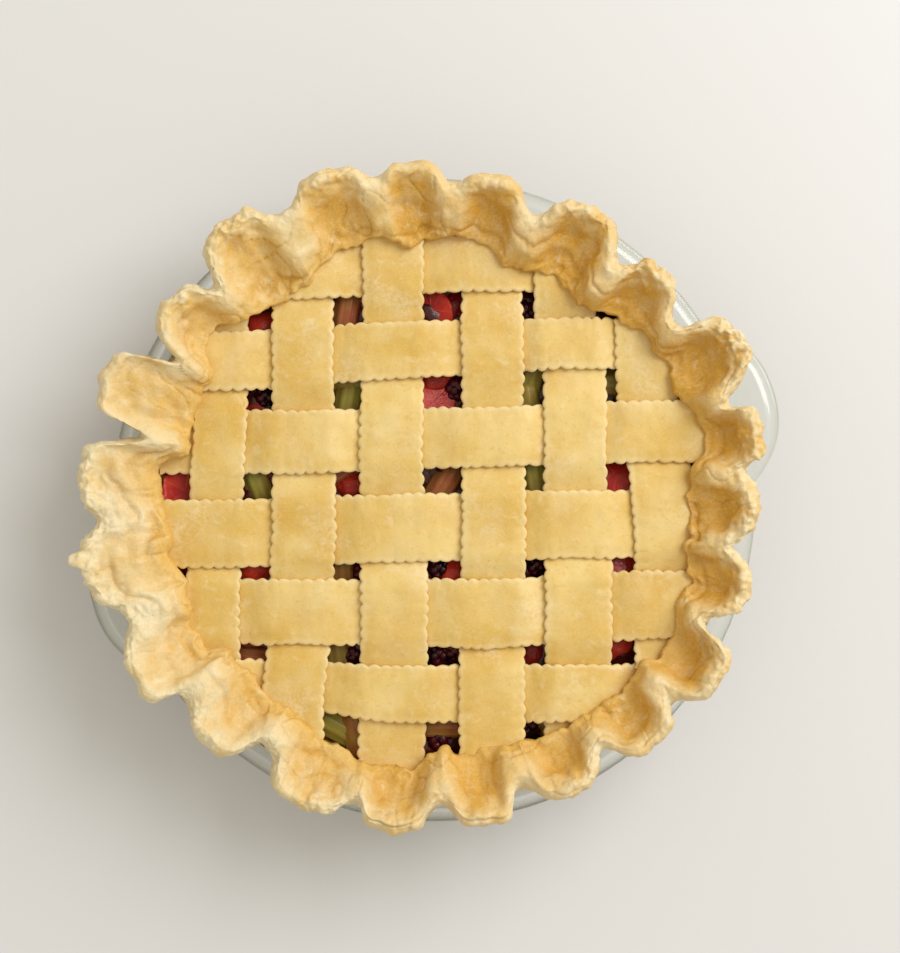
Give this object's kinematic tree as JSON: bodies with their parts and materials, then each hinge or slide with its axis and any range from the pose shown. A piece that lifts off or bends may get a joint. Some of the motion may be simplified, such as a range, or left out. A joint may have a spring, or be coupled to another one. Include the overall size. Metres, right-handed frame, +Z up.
{
  "type": "lattice pie",
  "caption": "Unbaked lattice pie in a clear glass dish with tab handles: woven strips with pinked edges over red and green fruit, inside a tall hand-fluted rim.",
  "frame": {"origin": "centre of the flat underside of the dish", "axes": "+Z up; the far side of the pie in the picture is +Y and its right side +X; one tab handle of the dish lies 18 degrees counter-clockwise from +X and the other opposite it"},
  "size_m": [0.2735, 0.2592, 0.0677],
  "materials": {
    "clear_glass": "smooth clear glass",
    "rim_dough": "soft raw pastry, pale and slightly buttery",
    "strip_dough": "rolled raw pastry, smooth with a little flour",
    "fruit": "wet cut fruit in its juice"
  },
  "bodies": {
    "root": {"glass_dish": "clear_glass", "crust": "rim_dough", "filling": "fruit", "strip_v0": "strip_dough", "strip_v1": "strip_dough", "strip_v2": "strip_dough", "strip_v3": "strip_dough", "strip_v4": "strip_dough", "strip_v5": "strip_dough", "strip_h0": "strip_dough", "strip_h1": "strip_dough", "strip_h2": "strip_dough", "strip_h3": "strip_dough", "strip_h4": "strip_dough", "strip_h5": "strip_dough"}
  },
  "joints": []
}
